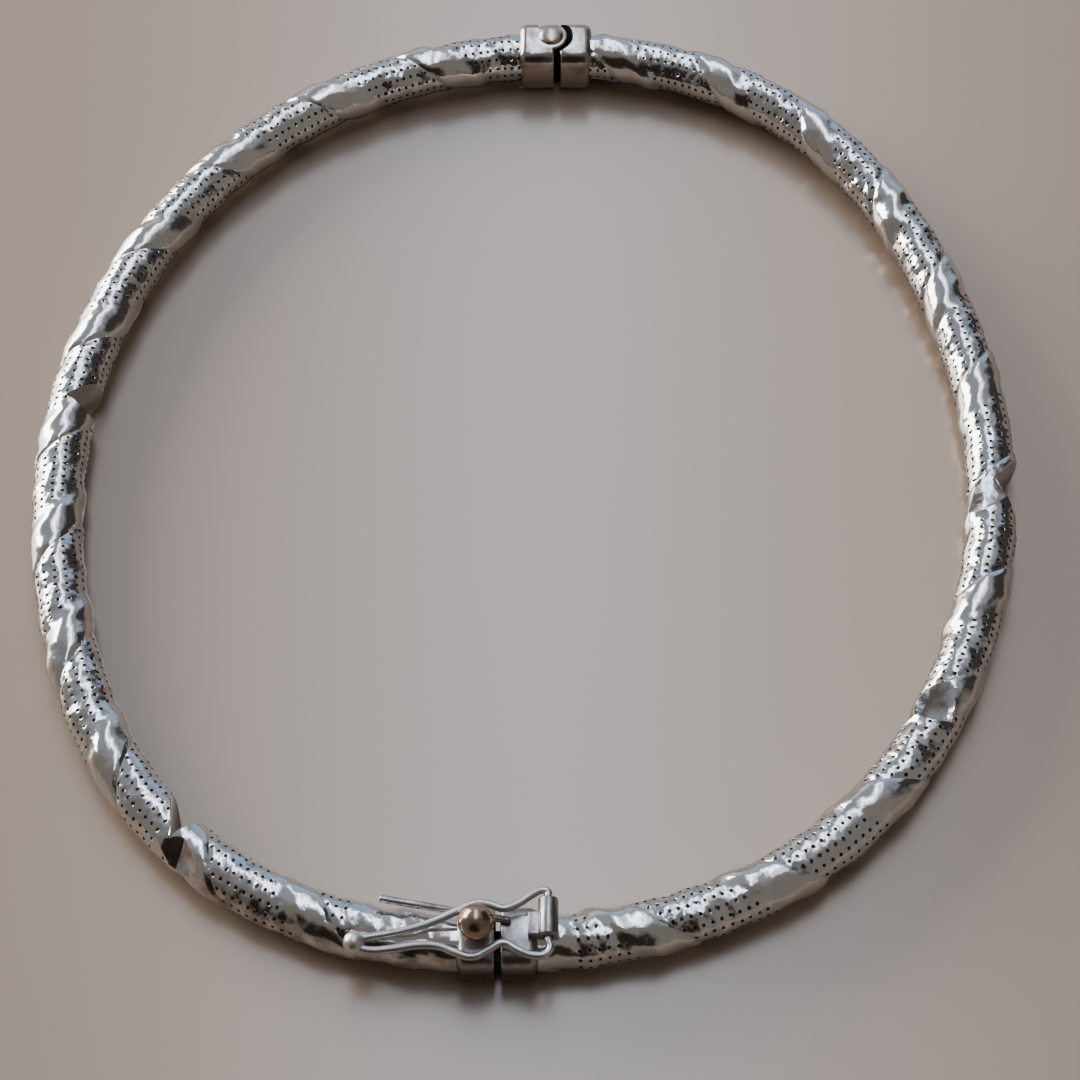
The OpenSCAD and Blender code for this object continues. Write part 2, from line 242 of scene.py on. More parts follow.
def pressed(q, dents, s, phi):
    """Presses the wall in to two flats that meet at a fold, for every dent."""
    for at, angle, deep, before, after, slant in dents:
        off = (phi - angle + 180) % 360 - 180
        past = s - at - slant * off / 90
        away = np.where(past < 0, -past / before, past / after)
        flat = TUBE_R - deep * (1 - away)
        q = np.minimum(q, flat / np.clip(np.cos(np.radians(off)), EDGE_ON, None))
    return q


# %% [markdown]
# The dots are struck with a small round punch, in rows along the tube. Where a dot goes, the
# grid's corner is bevelled into a little fan of faces, its rim is set on a slightly oval ring, and
# an inset sinks it. Its floor gets the second material, since tarnish stays in every punch mark.
# A hand-held punch never strikes twice alike, so the dots differ a little in place and size.

# %% Punch the dots
DOT_R, SMALLEST = 0.14, 0.9  # mm, and the least share of it
DOT_ALONG, DOT_ROUND = 0.92, 1.08  # a dot is a little longer round the tube than along it
SCATTER = 0.012
LIP, LIP_DEEP = 0.02, 0.008
DOT_WALL, DOT_DEEP = 0.015, 0.05
UNTOUCHED = 0.04  # how deep, in mm, the wall may be pressed in and still keep its dots
ON_GRID = 1e-3  # a corner that is off the grid by less counts as on it
rng = np.random.default_rng(7)


def punch_dots(sheet, spiral, seam_phi, start, end, dents):
    """Strikes a dot at every second corner of every second row, between two places."""
    edit(sheet)
    mesh = bmesh.from_edit_mesh(sheet.data)
    mesh.verts.ensure_lookup_table()
    co = np.array([v.co for v in mesh.verts])
    row = (co[:, 1] / GIRTH - seam_phi / 360) * ROWS
    column = abs(band_place(co, spiral)) / COLUMN
    odd = [(np.round(n) % 2 == 1) & (abs(n - np.round(n)) < ON_GRID) for n in (row, column)]
    in_panel = column > BAND_COLUMNS / 2 + 1
    clear_of_ends = (co[:, 0] > start) & (co[:, 0] < end)
    whole = pressed(TUBE_R, dents, co[:, 0], co[:, 1] / GIRTH * 360) > TUBE_R - UNTOUCHED
    chosen = np.flatnonzero(odd[0] & odd[1] & in_panel & clear_of_ends & whole)
    for i in chosen:
        mesh.verts[i].select_set(True)
    bmesh.update_edit_mesh(sheet.data)
    bpy.ops.mesh.bevel(offset=DOT_R, segments=2, profile=0.5, affect="VERTICES")
    bpy.ops.mesh.select_mode(type="FACE")
    mesh = bmesh.from_edit_mesh(sheet.data)
    fans = [v for v in mesh.verts if len(v.link_faces) == 4 and all(f.select for f in v.link_faces)]
    for middle in fans:
        rim = {v for f in middle.link_faces for v in f.verts} - {middle}
        rim = sorted(rim, key=lambda v: math.atan2(v.co.y - middle.co.y, v.co.x - middle.co.x))
        first = math.atan2(rim[0].co.y - middle.co.y, rim[0].co.x - middle.co.x)
        struck = middle.co + Vector((*rng.normal(0, SCATTER, 2), 0))
        r = DOT_R * rng.uniform(SMALLEST, 1.0)
        for k, v in enumerate(rim):
            a = first + 2 * math.pi * k / len(rim)
            v.co = struck + r * Vector((DOT_ALONG * math.cos(a), DOT_ROUND * math.sin(a), 0))
        middle.co = struck
    bmesh.update_edit_mesh(sheet.data)
    bpy.ops.mesh.inset(thickness=LIP, depth=-LIP_DEEP)
    sheet.active_material_index = 1
    bpy.ops.object.material_slot_assign()
    bpy.ops.mesh.inset(thickness=DOT_WALL, depth=-DOT_DEEP)
    done()
    print(f"{sheet.name}: {len(chosen)} dots, {len(fans)} fans, {len(sheet.data.polygons)} faces")


# %% [markdown]
# The bands between the dotted panels are plain and get a brighter metal, the third material.

# %% Mark the plain bands
def mark_bands(sheet, spiral):
    """Gives the third material to the faces near the middle of a band."""
    edit(sheet)
    bpy.ops.mesh.select_mode(type="FACE")
    mesh = bmesh.from_edit_mesh(sheet.data)
    mesh.faces.ensure_lookup_table()
    middles = np.array([f.calc_center_median() for f in mesh.faces])
    plain = abs(band_place(middles, spiral)) < BAND_HALF
    for f, is_plain in zip(mesh.faces, plain):
        f.select_set(bool(is_plain) and f.material_index == 0)
    bmesh.update_edit_mesh(sheet.data)
    sheet.active_material_index = 2
    bpy.ops.object.material_slot_assign()
    done()


# %% [markdown]
# ## Rolling the sheet into a tube
# Each point of the flat sheet goes to its place round the curved middle line. The same step
# raises the bands and sinks a fine crease along one side of each. The two long edges then meet and
# are merged, like the soldered seam.

# %% Relief
BAND_H, CROWN = 0.15, 0.03
# Where a band rises, crests and steps down, and where its crease is, in mm from its middle
RISE_FROM, CREST, FALL = -1.5, -0.45, 0.55  # a band falls by this share of its height
STEP_AT, STEP_OVER = 1.3, 0.2
CREASE_DEEP, CREASE_AT, CREASE_HALF = 0.06, STEP_AT + 0.25, 0.3
FADE_FROM, FADE_OVER = 2.45, 0.7  # mm from a tube's end, where it is plain to fit its collar


def smooth(x):
    """Eases from 0 to 1 while x goes from 0 to 1."""
    x = np.clip(x, 0, 1)
    return x * x * (3 - 2 * x)


def relief(place):
    """Height of a band and of the panels beside it, from the place across the turn.

    A band rises softly to a crest, falls slowly and ends in a sharp step and a crease.
    """
    rise = smooth((place - RISE_FROM) / (CREST - RISE_FROM))
    fall = 1 - FALL * np.clip((place - CREST) / (STEP_AT - CREST), 0, 1)
    step = 1 - smooth((place - STEP_AT) / STEP_OVER)
    crease = CREASE_DEEP * np.clip(1 - ((place - CREASE_AT) / CREASE_HALF) ** 2, 0, None)
    across = np.clip((abs(place) - BAND_HALF) / (PITCH / 2 - BAND_HALF), 0, 1)
    return BAND_H * rise * fall * step - crease + CROWN * np.sin(across * math.pi / 2)


WAVE_COUNT, SHORTEST, LONGEST, MOST_TURNS = 26, 0.9, 3.4, 3
WAVE_H = 0.0035  # height of a wave as a share of its length


def wander(s, phi, seed):
    """Slow unevenness of a sheet drawn by hand, a few hundredths of a millimetre high."""
    waves = np.random.default_rng(seed)
    total = 0 * s
    for _ in range(WAVE_COUNT):
        length = waves.uniform(SHORTEST, LONGEST)
        turns = waves.integers(-MOST_TURNS, MOST_TURNS + 1)
        cycles = s / length + waves.uniform() + turns * phi / 360
        total = total + length * np.sin(2 * np.pi * cycles)
    return WAVE_H * total


# %% [markdown]
# The far end of the left half is darkened on its outer side, with tarnish and painted shade
# together. How much is stored with each point, in an attribute that the metals read later.

# %% Roll the sheet
BAND_ROUGH, PANEL_ROUGH = 0.002, 0.006
# The tarnish and painted shade come in from this angle round the tube, over so many degrees,
# and over so many mm along the tube. The last number is how dark they get.
SHADE_TARNISH_PHI, SHADE_TARNISH_PHI_OVER, SHADE_TARNISH_OVER, SHADE_TARNISH_MOST = 112, 25, 4, 0.9
SEAM_WELD = 4e-6  # metres between points of the seam that become one


def roll_up(sheet, half, spiral, seed, shade_tarnish_from):
    """Rolls the flat sheet, in mm, into a tube along its half, in metres."""
    co = corners(sheet)
    s, phi = co[:, 0], co[:, 1] / GIRTH * 360
    ends = np.minimum(s, half.length - s)
    fade = smooth((ends - FADE_FROM) / FADE_OVER)
    place = band_place(co, spiral)
    rough = np.where(abs(place) < BAND_HALF, BAND_ROUGH, PANEL_ROUGH) * rng.normal(0, 1, len(co))
    q = TUBE_R + fade * (relief(place) + wander(s, phi, seed) + rough) + co[:, 2]
    put_corners(sheet, half.roll(s, phi, q))
    # Painted shade and tarnish on the outer side of the far end, stored for the metals
    outer_side = smooth(((phi + 90) % 360 - 90 - SHADE_TARNISH_PHI) / SHADE_TARNISH_PHI_OVER)
    shade_and_tarnish = SHADE_TARNISH_MOST * smooth((s - shade_tarnish_from) / SHADE_TARNISH_OVER) * outer_side
    attribute = sheet.data.attributes.new("shade_and_tarnish", "FLOAT", "POINT")
    attribute.data.foreach_set("value", shade_and_tarnish)
    edit(sheet, "SELECT")
    bpy.ops.mesh.remove_doubles(threshold=SEAM_WELD)
    bpy.ops.mesh.flip_normals()
    done()


# %% [markdown]
# A dent is pressed into the rolled tube. Three cuts first give it clean edges: one along the
# fold and one where each flat comes out of the round wall. What stands outside is then pushed
# down to the flats and a little beyond, which hollows them. The new folds get tarnish and painted
# shade, the flat after the fold darker than the one before it.

# %% Press the dents
HOLLOW = 0.3  # how much deeper than flat, as a share of what stands outside the flat
CUT_MARGIN, PUSH_MARGIN = 1.6, 1.5  # mm round a dent that are cut, and then pushed as well
PUSHED_FROM = -0.4  # mm from the tube's middle, so that the far wall stays
JUST_PRESSED = 0.02  # mm of push from which a point gets tarnish and painted shade
NEAR_FLAT_SHADE_TARNISH, FAR_FLAT_SHADE_TARNISH = 0.6, 0.9


def near_faces(tube, middle, reach, side=None):
    """Opens the tube with the faces selected that lie within reach of a point, on one side."""
    edit(tube)
    bpy.ops.mesh.select_mode(type="FACE")
    mesh = bmesh.from_edit_mesh(tube.data)
    for f in mesh.faces:
        off = f.calc_center_median() - middle
        f.select_set(off.length < reach and (side is None or off.dot(side) > 0))
    bmesh.update_edit_mesh(tube.data)


def press(tube, half, dent):
    """Presses one dent into the tube."""
    at, angle, deep, before, after, slant = dent
    place, ahead = half.at(np.array([at]))
    ahead = Vector((ahead[0][0], ahead[0][1], 0))
    inward = Vector((-ahead.y, ahead.x, 0))
    a = math.radians(angle)
    out = inward * math.cos(a) + Vector((0, 0, 1)) * math.sin(a)
    axis = Vector((place[0][0], place[0][1], AXIS_Z)) * MM
    bottom = axis + out * (TUBE_R - deep) * MM
    across = (ahead.cross(out) + ahead * slant / TUBE_R).normalized()
    fold_normal = across.cross(out).normalized()
    if fold_normal.dot(ahead) < 0:
        fold_normal.negate()
    flats = []
    for way, length in ((-1, before), (1, after)):
        ramp = fold_normal * way * length + out * deep
        normal = ramp.cross(across).normalized()
        if normal.dot(out) < 0:
            normal.negate()
        flats.append((fold_normal * way, normal))
    reach = (max(before, after) + CUT_MARGIN) * MM
    near_faces(tube, bottom, reach)
    bpy.ops.mesh.bisect(plane_co=bottom, plane_no=fold_normal, threshold=ON_CUT)
    done()
    for side, normal in flats:
        near_faces(tube, bottom, reach, side)
        bpy.ops.mesh.bisect(plane_co=bottom, plane_no=normal, threshold=ON_CUT)
        done()
    co = corners(tube)
    off = co - np.array(bottom)
    push = np.full(len(co), np.inf)
    for side, normal in flats:
        push = np.minimum(push, off @ np.array(normal) / normal.dot(out))
    facing = (co - np.array(axis)) @ np.array(out) > PUSHED_FROM * MM
    mine = (np.linalg.norm(off, axis=1) < reach + PUSH_MARGIN * MM) & facing
    push = np.where(mine, np.clip(push, 0, None), 0)
    put_corners(tube, co - (1 + HOLLOW) * push[:, None] * np.array(out))
    # Pressed points get tarnish and painted shade, darker on the flat after the fold
    shade_and_tarnish = tube.data.attributes["shade_and_tarnish"].data
    turned_away = off @ np.array(fold_normal) > 0
    for i in np.flatnonzero(push > JUST_PRESSED * MM):
        shade_and_tarnish[i].value = FAR_FLAT_SHADE_TARNISH if turned_away[i] else NEAR_FLAT_SHADE_TARNISH
    points, deepest = np.count_nonzero(push), (1 + HOLLOW) * push.max() / MM
    print(f"dent at {at} mm: {points} points pressed, {deepest:.2f} mm deep")


# %% [markdown]
# The ends of the tube are open. They show the thickness of the sheet, then a short bore, which
# is closed out of sight so that the tube stays one closed shape.

# %% Close the ends
WALL, BORE_DEEP = 0.3, 1.5
END_RADIUS = 3  # mm round an end's middle in which its open edge lies


def turn_in_ends(tube, half, start, end):
    """Gives both ends their wall and their bore."""
    for place, way in ((start, 1), (end, -1)):
        middle, ahead = half.at(np.array([place]))
        middle = Vector((middle[0][0], middle[0][1], AXIS_Z)) * MM
        ahead = Vector((ahead[0][0], ahead[0][1], 0)) * way
        edit(tube)
        mesh = bmesh.from_edit_mesh(tube.data)
        for e in mesh.edges:
            near = all((v.co - middle).length < END_RADIUS * MM for v in e.verts)
            if len(e.link_faces) == 1 and near:
                e.select_set(True)
        bmesh.update_edit_mesh(tube.data)
        bpy.ops.mesh.extrude_region_move()
        bpy.ops.transform.resize(value=(1 - WALL / TUBE_R,) * 3, center_override=middle)
        inwards = ahead * BORE_DEEP * MM
        bpy.ops.mesh.extrude_region_move(TRANSFORM_OT_translate={"value": inwards})
        bpy.ops.mesh.edge_face_add()
        done()


# %% [markdown]
# Now each step runs for both halves. The seam lies underneath, where nobody looks.

# %% Make both halves
LEFT_ENDS, RIGHT_ENDS = (1.755, 1.785), (1.395, 1.525)  # mm from the joints to the tubes' ends
# The dots are worn away beside the clasp
LEFT_DOTTED, RIGHT_DOTTED = (2.1, 88.0), (4.0, 93.7)
TUBE_SHARP = 26  # degrees between faces from which an edge of the tube looks sharp


def make_tube(name, half, ends, dotted, bands, seam_phi, dents, seed, shade_tarnish_from):
    """Makes one half of the tube, from the flat sheet to the smooth, dented tube."""
    start, end = ends[0], half.length - ends[1]
    spiral = Spiral(bands)
    tube = flat_sheet(name, spiral, seam_phi, start, end)
    for _ in range(3):  # places for the silver, the tarnish in the dots and the bands' silver
        tube.data.materials.append(None)
    punch_dots(tube, spiral, seam_phi, *dotted, dents)
    mark_bands(tube, spiral)
    roll_up(tube, half, spiral, seed, shade_tarnish_from)
    for dent in dents:
        press(tube, half, dent)
    turn_in_ends(tube, half, start, end)
    only(tube)
    bpy.ops.object.shade_smooth_by_angle(angle=math.radians(TUBE_SHARP))
    return tube


left_tube = make_tube(
    "chased_tube_left", left_half, LEFT_ENDS, LEFT_DOTTED, BANDS_LEFT,
    seam_phi=274, dents=DENTS_LEFT, seed=1, shade_tarnish_from=77,
)
right_tube = make_tube(
    "chased_tube_right", right_half, RIGHT_ENDS, RIGHT_DOTTED, BANDS_RIGHT,
    seam_phi=266, dents=DENTS_RIGHT, seed=2, shade_tarnish_from=right_half.length,
)
for tube, body, node in (
    (left_tube, "box_half", "tube_left"),
    (right_tube, "catch_half", "tube_right"),
):
    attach(tube, body)
    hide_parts(node)
    print(tube.name, sum(len(p.vertices) - 2 for p in tube.data.polygons), "triangles")

# %% [markdown]
# ## Collars, hinge and clasp
# Each end of a tube is soldered into a plain collar, a short square bar with soft corners. The
# collars are cast or filed from solid silver, so each is modelled from a block: the block gets
# its rounded edges first, then holes are cut and the smaller parts are joined on.

# %% Blocks, rods and cuts
joint_places = outline(np.array([HINGE_ANGLE, CLASP_ANGLE]))
HINGE_AT, CLASP_AT = (Vector((*place, AXIS_Z)) * MM for place in joint_places)


def block(joint, low, high):
    """A box between two corners, in mm from a joint."""
    low, high = Vector(low), Vector(high)
    middle = joint + (low + high) / 2 * MM
    bpy.ops.mesh.primitive_cube_add(size=1, location=middle, scale=(high - low) * MM)
    ob = bpy.context.object
    bpy.ops.object.transform_apply(location=True, rotation=True, scale=True)
    return ob


def rod(joint, p, q, radius, sides=48):
    """A round bar between two points, in mm from a joint."""
    p, q = Vector(p), Vector(q)
    bpy.ops.mesh.primitive_cylinder_add(
        vertices=sides, radius=radius * MM, depth=(q - p).length * MM,
        location=joint + (p + q) / 2 * MM, rotation=(q - p).to_track_quat("Z", "Y").to_euler(),
    )
    ob = bpy.context.object
    bpy.ops.object.transform_apply(location=True, rotation=True, scale=True)
    return ob


def ball(joint, middle, radius, sides=40):
    """A sphere round a point, in mm from a joint."""
    bpy.ops.mesh.primitive_uv_sphere_add(
        segments=sides, ring_count=sides // 2, radius=radius * MM,
        location=joint + Vector(middle) * MM,
    )
    ob = bpy.context.object
    bpy.ops.object.transform_apply(location=True, rotation=True, scale=True)
    return ob


def combine(ob, operation, *tools):
    """Cuts the tools out of ob, joins them on or keeps what they share, and removes them."""
    for tool in tools:
        only(ob)
        step = ob.modifiers.new("step", "BOOLEAN")
        step.operation = operation
        step.solver = "EXACT"
        step.object = tool
        bpy.ops.object.modifier_apply(modifier=step.name)
        bpy.data.objects.remove(tool, do_unlink=True)
    return ob


def soften(ob, chosen, width, segments):
    """Bevels the edges that are chosen by their two end points, in metres."""
    edit(ob)
    bpy.ops.mesh.select_mode(type="EDGE")
    mesh = bmesh.from_edit_mesh(ob.data)
    for e in mesh.edges:
        e.select_set(bool(chosen(e.verts[0].co, e.verts[1].co)))
    bmesh.update_edit_mesh(ob.data)
    bpy.ops.mesh.bevel(offset=width * MM, offset_type="OFFSET", segments=segments, affect="EDGES")
    done()
    return ob


# %% [markdown]
# A collar's long edges are well rounded. Its outer end, where the tube goes in, is rounded too,
# like a cushion. Where two collars meet, the edges are crisper.

# %% Collar bars
COLLAR_W, COLLAR_EDGE = 3.52, 0.9
OUTER_EDGE, INNER_EDGE = 0.52, 0.18
SOCKET_GAP, SOCKET_PAST = 0.06, 0.3
LEVEL = 0.01 * MM  # two points that differ by less are level
half_w = COLLAR_W / 2


def collar_bar(joint, x_outer, x_inner):
    """A square bar along X with soft edges, between two places in mm from a joint."""
    ends = sorted((x_outer, x_inner))
    bar = block(joint, (ends[0], -half_w, -half_w), (ends[1], half_w, half_w))
    soften(bar, lambda a, b: abs(a.x - b.x) > LEVEL, COLLAR_EDGE, 8)
    for x, width, segments in ((x_outer, OUTER_EDGE, 6), (x_inner, INNER_EDGE, 3)):
        at = joint.x + x * MM
        soften(bar, lambda a, b: max(abs(a.x - at), abs(b.x - at)) < LEVEL, width, segments)
    return bar


def socket(half, s0, s1):
    """The round hole for a tube's end, between two places along a half."""
    place, _ = half.at(np.array([s0, s1]))
    p, q = (Vector((x, y, AXIS_Z)) for x, y in place)
    return rod(Vector(), p, q, TUBE_R + SOCKET_GAP)


# %% [markdown]
# The left hinge collar ends in two round ears, one above and one below. The right one is hollowed
# out to let them turn, and has a lug that fits between them. The pin goes through all three.

# %% Hinge collars
HINGE_SLIT, LEFT_BAR, RIGHT_BAR = 0.185, 2.565, 2.335
PIN_X, PIN_Y, PIN_R = -0.40, 0.28, 0.35
PIN_GAP_EAR, PIN_GAP_LUG = 0.02, 0.06
EAR_R, EAR_EDGE, RECESS_R, LUG_R, LUG_H = 1.12, 0.13, 1.48, 0.86, 1.3
LUG_GAP, ARM_GAP, ARM_PAST = 0.07, 0.05, 0.2
FOOT_HOLE_R, FOOT_HOLE_DEEP = 0.57, 0.3
SHOULDER_X = PIN_X - 0.85
END_GAP = 0.04
FAR = 6  # reaches past everything at a joint


def at_pin(z0, z1, radius):
    """A round bar on the hinge's axis between two heights, mm."""
    return rod(HINGE_AT, (PIN_X, PIN_Y, z0), (PIN_X, PIN_Y, z1), radius)


slot_h = LUG_H / 2 + LUG_GAP
hinge_left = collar_bar(HINGE_AT, -LEFT_BAR, -HINGE_SLIT)
combine(hinge_left, "DIFFERENCE", block(HINGE_AT, (SHOULDER_X, PIN_Y, -FAR), (FAR, FAR, FAR)))
ear = at_pin(-half_w, half_w, EAR_R)
soften(ear, lambda a, b: abs(a.z - b.z) < LEVEL, EAR_EDGE, 3)
combine(ear, "INTERSECT", collar_bar(HINGE_AT, -LEFT_BAR, FAR))
combine(hinge_left, "UNION", ear)
combine(
    hinge_left, "DIFFERENCE",
    at_pin(-slot_h, slot_h, LUG_R + LUG_GAP),
    block(HINGE_AT, (PIN_X, PIN_Y - EAR_R - ARM_GAP, -slot_h), (FAR, FAR, slot_h)),
    block(HINGE_AT, (SHOULDER_X, PIN_Y, -slot_h), (FAR, FAR, slot_h)),
    at_pin(-FAR, FAR, PIN_R + PIN_GAP_EAR),
    at_pin(-FAR, -half_w + FOOT_HOLE_DEEP, FOOT_HOLE_R),
    socket(left_half, LEFT_ENDS[0] - END_GAP, LEFT_BAR + SOCKET_PAST),
)
hinge_left.name = "hinge_collar_left"

right_tube_end = right_half.length - RIGHT_ENDS[1]
hinge_right = collar_bar(HINGE_AT, RIGHT_BAR, HINGE_SLIT)
combine(hinge_right, "DIFFERENCE", at_pin(-FAR, FAR, RECESS_R))
lug = at_pin(-LUG_H / 2, LUG_H / 2, LUG_R)
arm_end = (PIN_X + RECESS_R + ARM_PAST, PIN_Y + LUG_R, LUG_H / 2)
arm = block(HINGE_AT, (PIN_X, PIN_Y - LUG_R, -LUG_H / 2), arm_end)
combine(hinge_right, "UNION", combine(lug, "UNION", arm))
combine(
    hinge_right, "DIFFERENCE",
    at_pin(-FAR, FAR, PIN_R + PIN_GAP_LUG),
    socket(right_half, right_tube_end + END_GAP, right_half.length - RIGHT_BAR - SOCKET_PAST),
)
hinge_right.name = "hinge_collar_right"

# %% [markdown]
# The pin is a rivet: a shaft with a low domed head, hammered a little flat, and a spread foot.

# %% Hinge pin
HEAD_R, HEAD_H, HEAD_CLEAR = 0.83, 0.32, 0.03
SPREAD_R, SPREAD_H, PIN_SHORT = 0.55, 0.2, 0.05
IN_HEAD = 0.06  # mm that the shaft goes up into the head
hinge_pin = at_pin(-half_w + PIN_SHORT, half_w + IN_HEAD, PIN_R)
head = ball(HINGE_AT, (PIN_X, PIN_Y, half_w), HEAD_R)
edit(head, "SELECT")
base = HINGE_AT + Vector((PIN_X, PIN_Y, half_w)) * MM
bpy.ops.transform.resize(value=(1, 1, HEAD_H / HEAD_R), center_override=base)
base.z += HEAD_CLEAR * MM
bpy.ops.mesh.bisect(
    plane_co=base, plane_no=(0, 0, 1), clear_inner=True, use_fill=True, threshold=ON_CUT
)
done()
spread = at_pin(-half_w + PIN_SHORT, -half_w + PIN_SHORT + SPREAD_H, SPREAD_R)
combine(hinge_pin, "UNION", head, spread)
hinge_pin.name = "hinge_rivet"

# %% [markdown]
# At the clasp, the left collar is a box and the right one carries the tongue that goes in it. A
# straight guard bar with round ends is soldered along the box's inner edge.

# %% Clasp box
CLASP_SLIT, BOX_BAR, TONGUE_BAR = 0.145, 2.245, 2.205
BOX_DEEP, BOX_HALF_W, BOX_HALF_H = 1.5, 1.1, 1.05
BALL_X, BALL_Y, STEM_R, STEM_GAP = -1.14, 0.12, 0.35, 0.05
GUARD_R, GUARD_RIGHT, GUARD_LEFT = 0.215, (0.50, 0.68, 1.98), (-6.30, 2.13, 1.40)
left_tube_end = left_half.length - LEFT_ENDS[1]
box = collar_bar(CLASP_AT, -BOX_BAR, -CLASP_SLIT)
combine(
    box, "DIFFERENCE",
    socket(left_half, left_tube_end + END_GAP, left_half.length - BOX_BAR - SOCKET_PAST),
    block(
        CLASP_AT, (-CLASP_SLIT - BOX_DEEP, -BOX_HALF_W, -BOX_HALF_H), (FAR, BOX_HALF_W, BOX_HALF_H)
    ),
    rod(CLASP_AT, (BALL_X, BALL_Y, 0), (BALL_X, BALL_Y, FAR), STEM_R + STEM_GAP),
)
guard = rod(CLASP_AT, GUARD_RIGHT, GUARD_LEFT, GUARD_R, 24)
MELTED = 1.02  # the ends were melted to balls, a little thicker than the bar
round_ends = [ball(CLASP_AT, end, GUARD_R * MELTED, 24) for end in (GUARD_RIGHT, GUARD_LEFT)]
combine(guard, "UNION", *round_ends)
combine(box, "UNION", guard)
box.name = "clasp_box"

# %% [markdown]
# The tongue sticks out of the right collar. On top, a saddle block carries the barrel, a short
# tube across the bangle in which the safety catch turns.

# %% Tongue collar with its barrel
TONGUE_LOW, TONGUE_HIGH = (CLASP_SLIT - 1.35, -0.9, -0.95), (CLASP_SLIT + 0.4, 0.9, -0.15)
BARREL_X, BARREL_Z, BARREL_R, BARREL_EDGE = 2.73, 2.34, 0.55, 0.14
BARREL_IN, BARREL_OUT = 1.78, -0.43
SADDLE_LOW, SADDLE_HIGH, SADDLE_EDGE = (1.63, -0.3, 1.6), (2.98, 1.1, BARREL_Z), 0.12
WIRE_R, WIRE_GAP, BORE_PAST = 0.22, 0.07, 0.1
tongue_collar = collar_bar(CLASP_AT, TONGUE_BAR, CLASP_SLIT)
combine(
    tongue_collar, "DIFFERENCE",
    socket(right_half, RIGHT_ENDS[0] - END_GAP, TONGUE_BAR + SOCKET_PAST),
)
tongue = block(CLASP_AT, TONGUE_LOW, TONGUE_HIGH)
saddle = block(CLASP_AT, SADDLE_LOW, SADDLE_HIGH)
soften(saddle, lambda a, b: True, SADDLE_EDGE, 3)
barrel_ends = [(BARREL_X, end, BARREL_Z) for end in (BARREL_IN, BARREL_OUT)]
barrel = rod(CLASP_AT, *barrel_ends, BARREL_R)
soften(barrel, lambda a, b: abs(a.y - b.y) < LEVEL, BARREL_EDGE, 4)
combine(tongue_collar, "UNION", tongue, saddle, barrel)
bore_ends = [
    (BARREL_X, end, BARREL_Z) for end in (BARREL_IN + BORE_PAST, BARREL_OUT - BORE_PAST)
]
combine(tongue_collar, "DIFFERENCE", rod(CLASP_AT, *bore_ends, WIRE_R + WIRE_GAP, 24))
tongue_collar.name = "tongue_collar"

# %% [markdown]
# The push ball stands on a stem. Pressed down, its foot frees the tongue.

# %% Push ball
BALL_R, BALL_Z = 0.975, 3.10
FOOT_R, FOOT_H, FOOT_Z = 0.43, 0.3, 0.42
push_ball = ball(CLASP_AT, (BALL_X, BALL_Y, BALL_Z), BALL_R, 64)
stem = rod(CLASP_AT, (BALL_X, BALL_Y, FOOT_Z), (BALL_X, BALL_Y, BALL_Z), STEM_R)
foot = rod(CLASP_AT, (BALL_X, BALL_Y, FOOT_Z), (BALL_X, BALL_Y, FOOT_Z + FOOT_H), FOOT_R)
combine(push_ball, "UNION", stem, foot)
push_ball.name = "push_ball_gilt"

# %% [markdown]
# The safety catch is one piece of wire bent by hand. It runs from its end bead, past the ball,
# through the barrel, and back past the ball on the other side. A curve through its bends gets the
# thickness of the wire, then becomes a mesh.

# %% Safety catch
CATCH_WIRE = [  # along X, towards the ring's middle, height, in mm from the clasp
    (-7.65, -0.38, 1.84), (-7.00, -0.26, 1.86), (-5.60, -0.04, 1.93), (-4.20, 0.26, 2.08),
    (-3.10, 0.64, 2.22), (-2.10, 1.10, 2.32), (-1.20, 1.50, 2.34), (-0.40, 1.40, 2.39),
    (0.30, 1.17, 2.41), (1.10, 1.46, 2.38), (1.85, 1.98, 2.34), (2.35, 2.24, 2.34),
    (2.70, 2.16, 2.34), (2.73, 1.90, 2.34), (2.73, 1.60, 2.34), (2.73, -0.30, 2.34),
    (2.73, -0.60, 2.34), (2.84, -1.00, 2.34), (2.62, -1.36, 2.34), (1.90, -1.46, 2.34),
    (1.10, -1.16, 2.34), (0.30, -0.76, 2.34), (-0.40, -1.10, 2.34), (-1.30, -1.54, 2.34),
    (-2.20, -1.32, 2.32), (-3.10, -0.92, 2.22), (-4.20, -0.80, 2.08), (-5.60, -0.94, 1.93),
    (-7.00, -0.98, 1.86), (-7.65, -0.74, 1.84),
]
BEAD_AT, BEAD_R = (-7.7, -0.55, 1.84), 0.6
WIRE_WELD = 1e-7
curve = bpy.data.curves.new("catch_wire", "CURVE")
curve.dimensions = "3D"
curve.bevel_depth = WIRE_R * MM
curve.bevel_resolution = 4
curve.resolution_u = 6
curve.use_fill_caps = True
line = curve.splines.new("BEZIER")
line.bezier_points.add(len(CATCH_WIRE) - 1)
for point, place in zip(line.bezier_points, CATCH_WIRE):
    point.co = CLASP_AT + Vector(place) * MM
    point.handle_left_type = point.handle_right_type = "AUTO"
catch = bpy.data.objects.new("safety_wire", curve)
bpy.context.scene.collection.objects.link(catch)
only(catch)
bpy.ops.object.convert(target="MESH")
catch = bpy.context.object
edit(catch, "SELECT")
bpy.ops.mesh.remove_doubles(threshold=WIRE_WELD)
bpy.ops.mesh.normals_make_consistent(inside=False)
done()
bead = ball(CLASP_AT, BEAD_AT, BEAD_R)
bead.name = "catch_bead"

# %% [markdown]
# Where two collars meet, and inside the box, the faces are painted near black as shade deep in
# the gaps. A face counts as inside when its middle lies well within the bar, its rounded edges and
# outer end left out.

# %% Find the insides
SKIN = 0.12  # mm under a side that still count as outside
DIAGONAL = 1.55  # how far across the corners the inside goes, as a share of the half width


